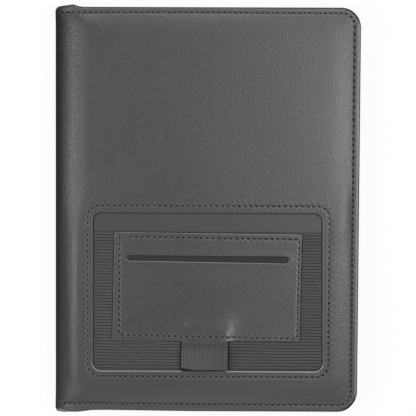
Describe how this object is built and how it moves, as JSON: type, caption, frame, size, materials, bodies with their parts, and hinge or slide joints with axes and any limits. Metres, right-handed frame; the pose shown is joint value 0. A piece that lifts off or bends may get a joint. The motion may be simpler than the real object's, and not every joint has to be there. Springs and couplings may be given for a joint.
{
  "type": "document portfolio",
  "caption": "Padded leatherette document portfolio that folds flat open at a soft spine, with inner pockets, a writing pad, and a front window with an elastic band, card pocket and pen loop.",
  "frame": {"origin": "middle of the back cover's outer face, on the surface the closed portfolio lies on", "axes": "+X from the spine to the free edge, +Y from foot to head, +Z out of the front cover"},
  "size_m": [0.177, 0.237, 0.0268],
  "materials": {
    "leather": "satin",
    "patch_leather": "satin",
    "backing": "satin",
    "elastic": "matte",
    "lining": "matte",
    "board": "matte",
    "foam": "matte",
    "paper": "matte",
    "tape": "matte"
  },
  "bodies": {
    "back_cover": {"back_skin": "leather", "back_foam": "foam", "back_board": "board", "back_lining": "lining", "pad_pocket": "lining"},
    "spine": {"spine_skin": "leather", "spine_board": "board", "spine_lining": "lining"},
    "front_cover": {"front_skin": "leather", "front_foam": "foam", "front_board": "board", "front_lining": "lining", "pocket_backing": "backing", "elastic_band": "elastic", "document_pocket": "lining", "card_strip_1": "lining", "card_strip_2": "lining", "card_strip_3": "lining"},
    "card_holder": {"card_pocket": "patch_leather", "pen_loop": "elastic"},
    "notepad": {"pad_board": "board", "pad_sheets": "paper", "pad_tape": "tape"}
  },
  "joints": [
    {"name": "spine_hinge", "type": "hinge", "parent": "back_cover", "child": "spine", "pos_m": [-0.08645, 0, 0.00335], "axis": [0, -1, 0], "range_deg": [0, 90]},
    {"name": "front_hinge", "type": "hinge", "parent": "spine", "child": "front_cover", "pos_m": [-0.08645, 0, 0.0187], "axis": [0, -1, 0], "range_deg": [0, 90]},
    {"name": "band_stretch", "type": "hinge", "parent": "front_cover", "child": "card_holder", "pos_m": [0, -0.0945, 0.02045], "axis": [1, 0, 0], "range_deg": [0, 6], "stiffness_Nm_per_rad": 2},
    {"name": "pad_slide", "type": "slide", "parent": "back_cover", "child": "notepad", "axis": [0, 1, 0], "range_m": [0, 0.046]}
  ]
}
